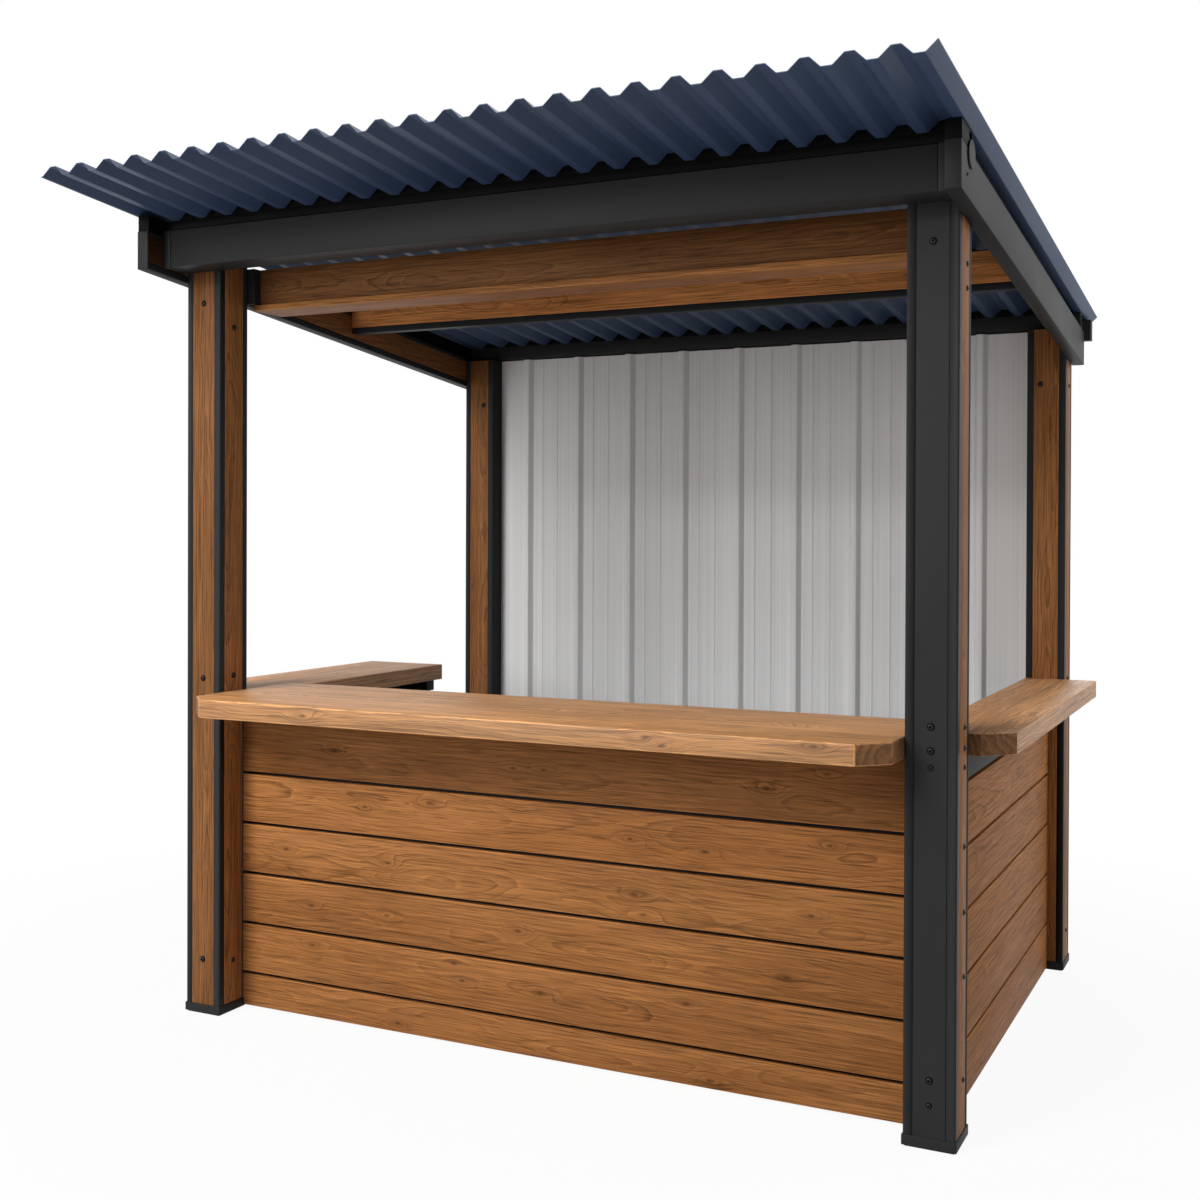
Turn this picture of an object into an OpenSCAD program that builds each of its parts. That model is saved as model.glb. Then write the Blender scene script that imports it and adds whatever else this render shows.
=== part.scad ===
// Open wooden market stall with a mono-pitch ribbed roof, steel-edged posts and a U of counters.
// Lengths in millimetres. X runs along the front, Y to the back, Z up.
// The origin lies on the floor under the middle of the stall's overall box.

/* [Frame] */
// Width over the outer faces of the posts
stall_width = 2400; // [1800:10:3200]
// Depth over the outer faces of the posts
stall_depth = 1800; // [1400:10:2600]
// Side of a square post
post = 130; // [100:1:160]
// Wall of a post, from its face to the hollow inside
post_wall = 17; // [12:1:25]
// Width of the steel left bare at each corner of a post
post_corner = 23; // [15:1:35]
// Thickness of the wood strip, and depth of its seat
strip_thick = 6; // [3:0.5:9]
// Width of the two grooves in the plain steel face of the front right post
groove_width = 3; // [1:0.5:6]
// Depth of those grooves
groove_depth = 2; // [1:0.5:4]
// Distance of those grooves from the post's edges
groove_inset = 24; // [15:1:40]
// Height of a foot cap with its pad
foot_height = 30; // [20:1:60]
// How far a foot cap stands out from the post
foot_over = 3; // [1:0.5:6]
// Thickness of the pad under a foot cap
pad_thick = 4; // [2:0.5:8]
// How far the pad steps in from the foot cap's edge
pad_inset = 6; // [2:1:20]

/* [Roof frame] */
// Fall of the roof toward the back, in degrees
roof_pitch = 5.7; // [3:0.1:10]
// Height of the rafters' underside at the front face of the front posts
rafter_low_front = 2279; // [2000:1:2600]
// Height of a rafter, measured upright
rafter_height = 114; // [90:1:160]
// Width of a rafter
rafter_width = 40; // [30:1:60]
// Wall of the folded steel members
steel_wall = 4; // [3:0.5:6]
// How far a rafter's nose stands ahead of the front posts
rafter_nose = 175; // [130:1:300]
// How far a rafter runs past the back posts
rafter_tail = 10; // [0:1:60]
// Height of the black lip below the wood lining
low_lip = 22; // [10:1:40]
// Height of the black lip above a rafter's wood lining
high_lip = 14; // [8:1:30]
// Thickness of the wood linings
lining_thick = 18; // [10:1:24]
// Height of the front beam
beam_height = 112; // [80:1:140]
// Depth of the front beam, which stands on the front faces of the posts
beam_depth = 109; // [60:1:120]
// Width of the cap on each end of the front beam
beam_cap_width = 28; // [15:1:60]
// How far an end cap stands out from the beam
beam_cap_over = 1.5; // [0.5:0.5:4]
// Gap between an end cap and the rafter beside it
beam_cap_gap = 2; // [0.5:0.5:6]
// Distance from the front posts' front face to the mid beam
mid_beam_y = 870; // [600:5:1100]
// Depth of the mid beam
mid_beam_depth = 40; // [30:1:80]
// Height of the mid beam
mid_beam_height = 122; // [90:1:180]
// Play between a beam or a wall and the sloping piece above it
roof_play = 0.3; // [0.2:0.1:0.8]
// Height of the rear purlin, which lies on the rafters
purlin_height = 49; // [35:1:80]
// Height of the front purlin, which lies on the front beam
front_purlin_height = 27; // [15:1:34]
// Width of the purlins
purlin_width = 40; // [30:1:60]
// Set-back of the front purlin from the front beam's face
front_purlin_setback = 12; // [0:1:40]
// Set-back of the front purlin's end blocks from the rafters' noses
end_block_setback = 4; // [0:1:30]
// Distance from the rear purlin's back face to the posts' back face
rear_purlin_setback = 45; // [20:1:100]
// Height of the rear beam behind the rafters' tails
rear_beam_height = 72; // [60:1:100]
// Depth of the rear beam
rear_beam_depth = 40; // [30:1:60]
// How far the rear beam runs past the posts' outer faces
rear_beam_over = 62; // [40:1:70]

/* [Roof sheet] */
// How far the sheet runs ahead of the front posts
roof_front = 540; // [250:5:900]
// How far the sheet runs behind the back posts
roof_back = 110; // [40:5:300]
// How far the sheet runs past the left posts' outer faces
roof_left = 50; // [45:1:100]
// How far the sheet runs past the right posts' outer faces
roof_right = 70; // [65:1:100]
// Spacing of the sheet's ribs
rib_pitch = 99.5; // [80:0.5:160]
// Height of a rib
rib_height = 25; // [15:1:40]
// Flat width on top of a rib
rib_crest = 22; // [10:1:40]
// Width of a rib's sloping web
rib_web = 26; // [8:1:36]
// Thickness of the sheet
roof_thick = 2; // [1:0.1:3]

/* [Front header] */
// Distance from the front posts' back face to the header board
header_gap = 30; // [10:1:60]
// Thickness of the header board
header_thick = 22; // [16:1:40]
// Height of the header board
header_height = 112; // [80:1:140]
// Distance from the front beam's underside down to the shelf board's underside
shelf_drop = 104; // [40:1:200]
// Thickness of the shelf board
shelf_thick = 18; // [12:1:30]
// Depth of the shelf board
shelf_depth = 140; // [80:1:200]
// How far the shelf board stands ahead of the header board
shelf_lip = 10; // [2:1:20]
// Gap between the shelf board's end and the plane of the post
shelf_end_gap = 5; // [2:1:30]
// Set-in of the header board's end from the post's inner face
header_set_in = 25; // [10:1:60]
// Length of the bracket leg on the post
bracket_leg = 75; // [50:1:110]
// Thickness of the bracket plate
bracket_thick = 6; // [4:0.5:10]

/* [Counters] */
// Height of the counters' top
counter_top = 1006; // [850:1:1150]
// Thickness of the counters
counter_thick = 55; // [40:1:90]
// How far the front counter stands ahead of the posts
front_counter_over = 180; // [120:1:260]
// How far the front counter reaches behind the posts' front face
front_counter_back = 350; // [200:1:500]
// How far the side counters stand out from the posts
side_counter_over = 105; // [85:1:160]
// Size of the cut corners of the counters
corner_cut = 75; // [20:1:80]
// How far the left counter reaches inward past the posts
left_counter_inner = 85; // [10:1:150]
// Distance from the front posts' front face to the left counter's end
left_counter_end = 1150; // [800:5:1250]
// Width of the joint between the planks of a side counter
plank_joint = 3; // [1:0.5:6]
// Depth of that joint
plank_joint_depth = 4; // [1:0.5:10]

/* [Panels] */
// Gap between boards
board_gap = 10.5; // [3:0.5:15]
// Thickness of the boards
board_thick = 20; // [12:1:30]
// Height of a board of the front panel
front_board = 147.5; // [80:0.5:200]
// Gap between the front counter and the top board
front_top_gap = 18; // [4:1:60]
// Height of the front panel's top board
front_top_board = 185; // [100:1:240]
// Height of the front panel above the floor
front_clear = 8; // [4:1:90]
// How deep the front boards reach between the posts, from the posts' back face
front_seat = 18; // [5:1:90]
// Height of a board of the side panels
side_board = 161.5; // [80:0.5:200]
// Height of the steel rail above the side boards
side_rail = 96; // [25:1:120]
// Height of the side panels above the floor
side_clear = 8; // [4:1:90]
// Set-back of the side boards from the posts' faces
side_recess = 52; // [1:0.5:70]
// Depth of the folded edges of the steel trays behind the boards
tray_depth = 34; // [20:1:50]
// Thickness of the trays' steel
tray_thick = 3; // [1.5:0.5:5]
// Side of the square leg at the left counter's end
leg = 50; // [40:1:70]
// Set-back of that leg from the counter's end
leg_setback = 25; // [5:1:80]
// Height of the bearer under the left counter's end
bearer_height = 40; // [25:1:60]
// Set-back of the bearer from the counter's inner edge
bearer_setback = 20; // [5:1:60]

/* [Back wall] */
// Height of the wall's rails
wall_rail = 45; // [30:1:70]
// Depth of the wall's rails
wall_rail_depth = 40; // [25:1:60]
// Distance from the posts' back face to the wall's rails
wall_setback = 15; // [5:1:40]
// Spacing of the wall sheet's ribs
wall_rib_pitch = 230; // [150:1:300]
// Distance from the wall's left edge to its first rib
wall_rib_start = 128; // [60:1:220]
// Flat width on top of a wall rib
wall_rib_crest = 22; // [10:1:40]
// Width of a wall rib's sloping web
wall_rib_web = 12; // [4:1:20]
// Height of a wall rib, toward the inside
wall_rib_height = 22; // [8:1:40]
// Width of the small stiffening beads between the ribs
wall_bead = 8; // [6:1:20]
// Height of those beads
wall_bead_height = 3; // [1:0.5:4]
// Spacing of those beads, from the rib on their left
wall_bead_step = 66; // [40:1:70]
// Thickness of the wall sheet
wall_thick = 2; // [1:0.1:3]
// Height of the wall above the floor
wall_clear = 30; // [10:1:80]

/* [Hidden] */

steel_color = [0.18, 0.18, 0.19];
wood_color = [0.45, 0.29, 0.16];
counter_color = [0.62, 0.45, 0.28];
roof_color = [0.20, 0.25, 0.33];
wall_color = [0.72, 0.73, 0.74];

half_width = stall_width / 2;
post_bore = post - 2 * post_wall;
strip_width = post - 2 * post_corner;
inner_x = half_width - post;
back_post_y = stall_depth - post;
slope = tan(roof_pitch);
overall_mid_y = (stall_depth + roof_back - roof_front) / 2;
counter_low = counter_top - counter_thick;
front_board_top = counter_low - front_top_gap;
side_board_top = counter_low - side_rail - board_gap;
side_pitch = side_board + board_gap;
side_count = ceil((side_board_top - side_clear) / side_pitch);
front_board_y = post - front_seat;
front_pitch = front_board + board_gap;
front_joint = front_board_top - front_top_board;
front_count = ceil((front_joint - board_gap - front_clear) / front_pitch);
leg_back = left_counter_end - leg_setback;
leg_front = leg_back - leg;
left_inner_edge = -inner_x + left_counter_inner;
side_face = half_width - side_recess;
header_y = post + header_gap;
shelf_y = header_y - shelf_lip;
header_end = inner_x - header_set_in;
wall_rail_back = stall_depth - wall_setback;
wall_rail_front = wall_rail_back - wall_rail_depth;
wall_sheet_y = wall_rail_front - wall_thick;
rafter_end = stall_depth + rafter_tail;
lining_front = steel_wall - rafter_nose;
lining_back = rafter_end - steel_wall;
front_purlin_y = front_purlin_setback - beam_depth;
rear_purlin_y = stall_depth - rear_purlin_setback - purlin_width;
sheet_width = stall_width + roof_left + roof_right;
sheet_rear = stall_depth + roof_back - (rib_height + roof_thick) * sin(roof_pitch);
sheet_length = (sheet_rear + roof_front) / cos(roof_pitch);

function rafter_low(y) = rafter_low_front - y * slope;
function rafter_high(y) = rafter_low(y) + rafter_height;
function sheet_low(y) = rafter_high(y) + purlin_height;

front_purlin_lift = rafter_height + purlin_height - front_purlin_height;
beam_high = rafter_low(front_purlin_y + purlin_width) + front_purlin_lift - roof_play;
beam_low = beam_high - beam_height;
shelf_low = beam_low - shelf_drop;
header_low = shelf_low + shelf_thick;
wall_top = rafter_high(wall_rail_back) - roof_play;
mid_beam_high = sheet_low(mid_beam_y + mid_beam_depth) - roof_play;
rear_beam_high = sheet_low(rafter_end + rear_beam_depth) - roof_play;
rear_beam_low = rear_beam_high - rear_beam_height;
mid_beam_low = mid_beam_high - mid_beam_height;
front_post_top = rafter_high(post);
back_post_top = rafter_high(stall_depth);

// Moves a piece from the front posts' front face to the middle of the overall box
module placed() {
    translate([0, -overall_mid_y, 0]) children();
}

// Extrudes a side outline, drawn as [y, z], from x0 to x1
module along_x(x0, x1) {
    translate([x0, 0, 0]) rotate([90, 0, 90]) linear_extrude(x1 - x0) children();
}

// Extrudes an end outline, drawn as [x, z], from y0 to y1
module along_y(y0, y1) {
    translate([0, y1, 0]) rotate([90, 0, 0]) linear_extrude(y1 - y0) children();
}

// A bar that follows the roof's fall, with upright ends
module sloped_bar(x0, x1, y0, y1, lift, high) {
    along_x(x0, x1) polygon([
        [y0, rafter_low(y0) + lift],
        [y1, rafter_low(y1) + lift],
        [y1, rafter_low(y1) + lift + high],
        [y0, rafter_low(y0) + lift + high]
    ]);
}

// Seat of one wood strip, on the face that looks along +X
module strip_seat() {
    translate([post / 2 - strip_thick, -strip_width / 2]) square([strip_thick + 1, strip_width]);
}

// The two fine grooves of a plain steel face
module face_grooves() {
    for (side = [-1, 1])
        translate([post / 2 - groove_depth, side * (post / 2 - groove_inset) - groove_width / 2])
            square([groove_depth + 1, groove_width]);
}

// Upright steel post with strip seats on the faces named by their turn in degrees
module post_body(x, y, high, seats, plain) {
    long = high - foot_height;
    color(steel_color) placed() translate([x, y, foot_height]) difference() {
        linear_extrude(long) difference() {
            square(post, center = true);
            for (turn = seats) rotate(turn) strip_seat();
            for (turn = plain) rotate(turn) face_grooves();
        }
        translate([-post_bore / 2, -post_bore / 2, -1])
            cube([post_bore, post_bore, long - steel_wall + 1]);
    }
}

// The wood strips of one post
module post_strips(x, y, high, seats) {
    color(wood_color) placed() translate([x, y, foot_height]) linear_extrude(high - foot_height)
        for (turn = seats) rotate(turn)
            translate([post / 2 - strip_thick, -strip_width / 2]) square([strip_thick, strip_width]);
}

foot_cap = post + 2 * foot_over;

// Steel cap and pad under a post
module post_foot(x, y) {
    pad = foot_cap - 2 * pad_inset;
    color(steel_color) placed() translate([x, y, 0]) union() {
        translate([-pad / 2, -pad / 2, 0]) cube([pad, pad, pad_thick]);
        translate([-foot_cap / 2, -foot_cap / 2, pad_thick])
            cube([foot_cap, foot_cap, foot_height - pad_thick]);
    }
}

// Cuts the room of the foot caps out of a panel that comes down beside them
module clear_of_feet() {
    difference() {
        children();
        for (x = [left_post_x, right_post_x], y = [front_row_y, back_row_y])
            translate([x - foot_cap / 2, y - foot_cap / 2, -1])
                cube([foot_cap, foot_cap, foot_height + 1]);
    }
}

all_faces = [0, 90, 180, 270];
no_front_face = [0, 90, 180];
no_right_face = [90, 180, 270];
front_face = [270];
left_post_x = -half_width + post / 2;
right_post_x = half_width - post / 2;
front_row_y = post / 2;
back_row_y = stall_depth - post / 2;

module front_left_post() { post_body(left_post_x, front_row_y, front_post_top, all_faces, []); }
module front_right_post() {
    post_body(right_post_x, front_row_y, front_post_top, no_front_face, front_face);
}
module back_left_post() { post_body(left_post_x, back_row_y, back_post_top, no_right_face, []); }
module back_right_post() { post_body(right_post_x, back_row_y, back_post_top, all_faces, []); }
module front_left_post_strips() {
    post_strips(left_post_x, front_row_y, front_post_top, all_faces);
}
module front_right_post_strips() {
    post_strips(right_post_x, front_row_y, front_post_top, no_front_face);
}
module back_left_post_strips() {
    post_strips(left_post_x, back_row_y, back_post_top, no_right_face);
}
module back_right_post_strips() { post_strips(right_post_x, back_row_y, back_post_top, all_faces); }
module front_left_foot() { post_foot(left_post_x, front_row_y); }
module front_right_foot() { post_foot(right_post_x, front_row_y); }
module back_left_foot() { post_foot(left_post_x, back_row_y); }
module back_right_foot() { post_foot(right_post_x, back_row_y); }

beam_end = half_width - beam_cap_gap - beam_cap_width;

module front_beam() {
    color(steel_color) placed() along_x(-beam_end, beam_end) difference() {
        translate([-beam_depth, beam_low]) square([beam_depth, beam_height]);
        translate([-beam_depth + steel_wall, beam_low + steel_wall])
            square([beam_depth - 2 * steel_wall, beam_height - 2 * steel_wall]);
    }
}

// Cap on one end of the front beam
module beam_cap(x0) {
    color(steel_color) placed()
        translate([x0, -beam_depth - beam_cap_over, beam_low - beam_cap_over])
            cube([beam_cap_width, beam_depth + beam_cap_over, beam_height + 2 * beam_cap_over]);
}

module front_beam_left_cap() { beam_cap(-beam_end - beam_cap_width); }
module front_beam_right_cap() { beam_cap(beam_end); }

// The right rafter's steel, a box section with a slot for its lining on the inner face
module rafter_steel() {
    difference() {
        sloped_bar(half_width, half_width + rafter_width, -rafter_nose, rafter_end, 0,
            rafter_height);
        sloped_bar(half_width + steel_wall, half_width + rafter_width - steel_wall,
            lining_front, lining_back, steel_wall, rafter_height - 2 * steel_wall);
        sloped_bar(half_width - 1, half_width + 2 * steel_wall, lining_front, lining_back,
            low_lip, rafter_height - low_lip - high_lip);
    }
}

// The wood lining of the right rafter
module rafter_lining() {
    sloped_bar(half_width, half_width + lining_thick, lining_front, lining_back,
        low_lip, rafter_height - low_lip - high_lip);
}

module right_rafter() { color(steel_color) placed() rafter_steel(); }
module left_rafter() { color(steel_color) placed() mirror([1, 0, 0]) rafter_steel(); }
module right_rafter_lining() { color(wood_color) placed() rafter_lining(); }
module left_rafter_lining() { color(wood_color) placed() mirror([1, 0, 0]) rafter_lining(); }

module mid_beam() {
    color(steel_color) placed() along_x(-half_width, half_width) difference() {
        translate([mid_beam_y, mid_beam_low]) square([mid_beam_depth, mid_beam_height]);
        translate([mid_beam_y + steel_wall, mid_beam_low + steel_wall])
            square([mid_beam_depth - 2 * steel_wall, mid_beam_height - 2 * steel_wall]);
        translate([mid_beam_y - 1, mid_beam_low + low_lip])
            square([steel_wall + 2, mid_beam_height - low_lip - steel_wall]);
    }
}

module mid_beam_lining() {
    color(wood_color) placed() along_x(-half_width, half_width)
        translate([mid_beam_y, mid_beam_low + low_lip])
            square([lining_thick, mid_beam_height - low_lip - steel_wall]);
}

purlin_end = half_width + rafter_width;

// Outside of a purlin as long as the stall is wide over its rafters
module purlin_body(y, lift, high) {
    sloped_bar(-purlin_end, purlin_end, y, y + purlin_width, lift, high);
}

// Hollow of a purlin
module purlin_bore(y, lift, high) {
    sloped_bar(-purlin_end - 1, purlin_end + 1, y + steel_wall, y + purlin_width - steel_wall,
        lift + steel_wall, high - 2 * steel_wall);
}

// Block on a rafter's nose that carries one end of the front purlin
module purlin_end_block(x0) {
    sloped_bar(x0, x0 + rafter_width, end_block_setback - rafter_nose,
        front_purlin_y + purlin_width, rafter_height, purlin_height);
}

module front_purlin() {
    color(steel_color) placed() difference() {
        union() {
            purlin_body(front_purlin_y, front_purlin_lift, front_purlin_height);
            purlin_end_block(half_width);
            purlin_end_block(-purlin_end);
        }
        purlin_bore(front_purlin_y, front_purlin_lift, front_purlin_height);
    }
}

module rear_purlin() {
    color(steel_color) placed() difference() {
        purlin_body(rear_purlin_y, rafter_height, purlin_height);
        purlin_bore(rear_purlin_y, rafter_height, purlin_height);
    }
}

module rear_beam() {
    end = half_width + rear_beam_over;
    color(steel_color) placed() translate([-end, rafter_end, rear_beam_low])
        cube([2 * end, rear_beam_depth, rear_beam_height]);
}

// Underside outline of the ribbed sheet: low at its left edge, one rising web at its right edge
rib_count = floor((sheet_width - rib_web - 0.1) / rib_pitch);

// Points of one rib, from the foot of its left web
function rib_points(x) = [[x, 0], [x + rib_web, rib_height],
    [x + rib_web + rib_crest, rib_height], [x + 2 * rib_web + rib_crest, 0]];

roof_line = concat(
    [[0, 0]],
    [for (i = [rib_count : -1 : 1], p = rib_points(sheet_width - rib_web - i * rib_pitch)) p],
    [[sheet_width - rib_web, 0], [sheet_width, rib_height]]
);

// Closes a line into a sheet of even upright thickness
function thickened(line, thick) = concat(line,
    [for (i = [len(line) - 1 : -1 : 0]) [line[i][0], line[i][1] + thick]]);

module roof_sheet() {
    color(roof_color) placed()
        translate([-half_width - roof_left, sheet_rear, sheet_low(sheet_rear)])
            rotate([-roof_pitch, 0, 0]) rotate([90, 0, 0]) linear_extrude(sheet_length)
                polygon(thickened(roof_line, roof_thick));
}

module header_board() {
    color(wood_color) placed() translate([-header_end, header_y, header_low])
        cube([2 * header_end, header_thick, header_height]);
}

module header_shelf() {
    end = inner_x - shelf_end_gap;
    color(wood_color) placed() translate([-end, shelf_y, shelf_low])
        cube([2 * end, shelf_depth, shelf_thick]);
}

// Angle bracket between the right post's back face and the header board's end
module header_bracket() {
    translate([header_end, post, header_low]) linear_extrude(header_height) union() {
        square([bracket_leg, bracket_thick]);
        square([bracket_thick, header_gap + header_thick]);
    }
}

module right_header_bracket() { color(steel_color) placed() header_bracket(); }
module left_header_bracket() { color(steel_color) placed() mirror([1, 0, 0]) header_bracket(); }

module front_counter() {
    front = -front_counter_over;
    color(counter_color) placed() translate([0, 0, counter_low]) linear_extrude(counter_thick)
        polygon([
            [-inner_x, front_counter_back], [inner_x, front_counter_back],
            [inner_x, front + corner_cut], [inner_x - corner_cut, front],
            [-inner_x + corner_cut, front], [-inner_x, front + corner_cut]
        ]);
}

// Joint line between two planks, cut into the top of a side counter
module plank_joint_cut(x, y0, y1) {
    translate([x - plank_joint / 2, y0, counter_top - plank_joint_depth])
        cube([plank_joint, y1 - y0, plank_joint_depth + 1]);
}

module right_counter() {
    outer = half_width + side_counter_over;
    color(counter_color) placed() difference() {
        translate([0, 0, counter_low]) linear_extrude(counter_thick) polygon([
            [inner_x, post], [outer - corner_cut, post], [outer, post + corner_cut],
            [outer, back_post_y], [inner_x, back_post_y]
        ]);
        plank_joint_cut((inner_x + outer) / 2, post - 1, back_post_y + 1);
    }
}

module left_counter() {
    outer = -half_width - side_counter_over;
    color(counter_color) placed() difference() {
        translate([0, 0, counter_low]) linear_extrude(counter_thick) polygon([
            [outer + corner_cut, post], [-inner_x, post], [-inner_x, front_counter_back],
            [left_inner_edge, front_counter_back], [left_inner_edge, left_counter_end],
            [outer, left_counter_end], [outer, post + corner_cut]
        ]);
        plank_joint_cut((outer - inner_x) / 2, post - 1, left_counter_end + 1);
    }
}

module front_panel_boards() {
    color(wood_color) placed() clear_of_feet() {
        translate([-inner_x, front_board_y, front_joint])
            cube([2 * inner_x, board_thick, front_top_board]);
        for (i = [0 : front_count - 1]) {
            high = front_joint - board_gap - i * front_pitch;
            low = max(high - front_board, front_clear);
            translate([-inner_x, front_board_y, low]) cube([2 * inner_x, board_thick, high - low]);
        }
    }
}

// Section of a folded tray, with its web on the boards and its edges turned inward
module tray_section(low, high) {
    difference() {
        translate([0, low]) square([tray_depth, high - low]);
        translate([tray_thick, low + tray_thick])
            square([tray_depth, high - low - 2 * tray_thick]);
    }
}

module front_panel_tray() {
    color(steel_color) placed() clear_of_feet() along_x(-inner_x, inner_x)
        translate([front_board_y + board_thick, 0]) tray_section(front_clear, counter_low);
}

// Boards of the right panel from y0 to y1
module side_boards(y0, y1) {
    for (i = [0 : side_count - 1]) {
        high = side_board_top - i * side_pitch;
        low = max(high - side_board, side_clear);
        translate([side_face - board_thick, y0, low]) cube([board_thick, y1 - y0, high - low]);
    }
}

// Tray behind the boards of the right panel
module side_tray(y0, y1) {
    along_y(y0, y1) translate([side_face - board_thick, 0]) mirror([1, 0])
        tray_section(side_clear, counter_low);
}

// Steel rail between the right counter and the boards below it
module side_top_rail(y0, y1) {
    translate([side_face - board_thick, y0, counter_low - side_rail])
        cube([board_thick, y1 - y0, side_rail]);
}

module right_panel_boards() {
    color(wood_color) placed() clear_of_feet() side_boards(post, back_post_y);
}
module right_panel_tray() {
    color(steel_color) placed() clear_of_feet() side_tray(post, back_post_y);
}
module right_panel_rail() { color(steel_color) placed() side_top_rail(post, back_post_y); }
module left_panel_boards() {
    color(wood_color) placed() clear_of_feet() mirror([1, 0, 0]) side_boards(post, leg_front);
}
module left_panel_tray() {
    color(steel_color) placed() clear_of_feet() mirror([1, 0, 0]) side_tray(post, leg_front);
}
module left_panel_rail() {
    color(steel_color) placed() mirror([1, 0, 0]) side_top_rail(post, leg_front);
}

module left_panel_leg() {
    color(steel_color) placed() translate([-side_face, leg_front, 0]) difference() {
        cube([leg, leg, counter_low]);
        translate([steel_wall, steel_wall, steel_wall])
            cube([leg - 2 * steel_wall, leg - 2 * steel_wall, counter_low]);
    }
}

module left_counter_bearer() {
    x0 = -side_face + leg;
    x1 = left_inner_edge - bearer_setback;
    color(steel_color) placed() translate([x0, leg_front, counter_low - bearer_height])
        cube([x1 - x0, leg, bearer_height]);
}

// Inner line of the wall sheet: ribs toward the inside, two small beads on each flat between
wall_width = 2 * inner_x;
wall_rib_half = wall_rib_crest / 2 + wall_rib_web;
wall_ribs = 1 + floor((wall_width - wall_rib_start - wall_rib_half - 1) / wall_rib_pitch);
wall_line = concat(
    [[0, 0]],
    [for (i = [0 : wall_ribs - 1], p = wall_points(wall_rib_start + i * wall_rib_pitch,
        i < wall_ribs - 1)) p],
    [[wall_width, 0]]
);

// Points of one rib, with the two beads that follow it
function wall_points(x, beads) = concat(
    [[x - wall_rib_half, 0], [x - wall_rib_crest / 2, -wall_rib_height],
        [x + wall_rib_crest / 2, -wall_rib_height], [x + wall_rib_half, 0]],
    beads ? concat(bead_points(x + wall_bead_step), bead_points(x + 2 * wall_bead_step)) : []
);

// Points of one bead
function bead_points(x) = [[x - wall_bead / 2, 0], [x, -wall_bead_height], [x + wall_bead / 2, 0]];

module back_wall_sheet() {
    color(wall_color) placed() clear_of_feet() translate([-inner_x, wall_sheet_y, wall_clear])
        linear_extrude(wall_top - wall_clear)
            polygon(thickened(wall_line, wall_thick));
}

// One horizontal rail of the back wall
module wall_rail_bar(low) {
    color(steel_color) placed() clear_of_feet() along_x(-inner_x, inner_x)
        translate([wall_rail_front, low]) difference() {
            square([wall_rail_depth, wall_rail]);
            translate([steel_wall, steel_wall])
                square([wall_rail_depth - 2 * steel_wall, wall_rail - 2 * steel_wall]);
        }
}

module back_wall_top_rail() { wall_rail_bar(wall_top - wall_rail); }
module back_wall_bottom_rail() { wall_rail_bar(wall_clear); }

front_left_post();
front_right_post();
back_left_post();
back_right_post();
front_left_post_strips();
front_right_post_strips();
back_left_post_strips();
back_right_post_strips();
front_left_foot();
front_right_foot();
back_left_foot();
back_right_foot();
front_beam();
front_beam_left_cap();
front_beam_right_cap();
left_rafter();
left_rafter_lining();
right_rafter();
right_rafter_lining();
mid_beam();
mid_beam_lining();
front_purlin();
rear_purlin();
rear_beam();
roof_sheet();
header_board();
header_shelf();
left_header_bracket();
right_header_bracket();
front_counter();
right_counter();
left_counter();
front_panel_boards();
front_panel_tray();
right_panel_boards();
right_panel_tray();
right_panel_rail();
left_panel_boards();
left_panel_tray();
left_panel_rail();
left_panel_leg();
left_counter_bearer();
back_wall_sheet();
back_wall_top_rail();
back_wall_bottom_rail();
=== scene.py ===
"""Looks of the open wooden market stall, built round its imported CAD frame. Lengths in metres."""
import math
import random

import bmesh
import bpy
from mathutils import Matrix, Vector


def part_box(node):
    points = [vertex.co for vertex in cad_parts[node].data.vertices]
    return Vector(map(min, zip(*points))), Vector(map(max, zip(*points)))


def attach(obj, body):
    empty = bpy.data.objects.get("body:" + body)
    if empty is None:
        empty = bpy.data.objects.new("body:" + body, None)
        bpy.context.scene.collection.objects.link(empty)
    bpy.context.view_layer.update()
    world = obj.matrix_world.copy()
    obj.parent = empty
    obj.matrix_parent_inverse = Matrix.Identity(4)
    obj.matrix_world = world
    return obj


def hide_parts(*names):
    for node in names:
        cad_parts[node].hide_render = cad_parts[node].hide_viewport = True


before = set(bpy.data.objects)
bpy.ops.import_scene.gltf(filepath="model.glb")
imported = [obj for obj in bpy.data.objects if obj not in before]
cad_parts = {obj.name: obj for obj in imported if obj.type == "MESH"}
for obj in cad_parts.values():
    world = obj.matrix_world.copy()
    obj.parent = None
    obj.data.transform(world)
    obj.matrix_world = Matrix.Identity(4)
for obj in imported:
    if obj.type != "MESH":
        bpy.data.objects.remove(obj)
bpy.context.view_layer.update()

BODY = "root"
SEED = 31

# Camera, worked out from the photograph's own lines
IMAGE_SIDE = 1200
SENSOR = 36.0
FOCAL_PIXELS = 1463.82
CENTRE_ROW = 544.56
CLIP_END = 200.0
CAMERA_PLACE = Vector((1.9719, -4.2347, 1.5007))
CAMERA_YAW = math.radians(26.036)
CAMERA_PITCH = math.radians(0.4204)
CAMERA_ROLL = math.radians(0.2062)

# Lamps as place, size and power, all turned to one spot
LAMP_TARGET = (0.2, -0.3, 1.0)
LAMPS = {
    "key": ((-1.9, -5.6, 5.4), 3.2, 425.0),
    "front": ((-3.0, -6.6, 3.0), 3.0, 190.0),
    "side": ((5.2, 2.2, 3.0), 3.4, 145.0),
    "back": ((-1.0, 6.5, 4.5), 4.0, 160.0),
}
# Strength of the white world's light on the object, where it shows itself with 1
AMBIENT = 0.07
WHITE = (1.0, 1.0, 1.0, 1.0)
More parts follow.
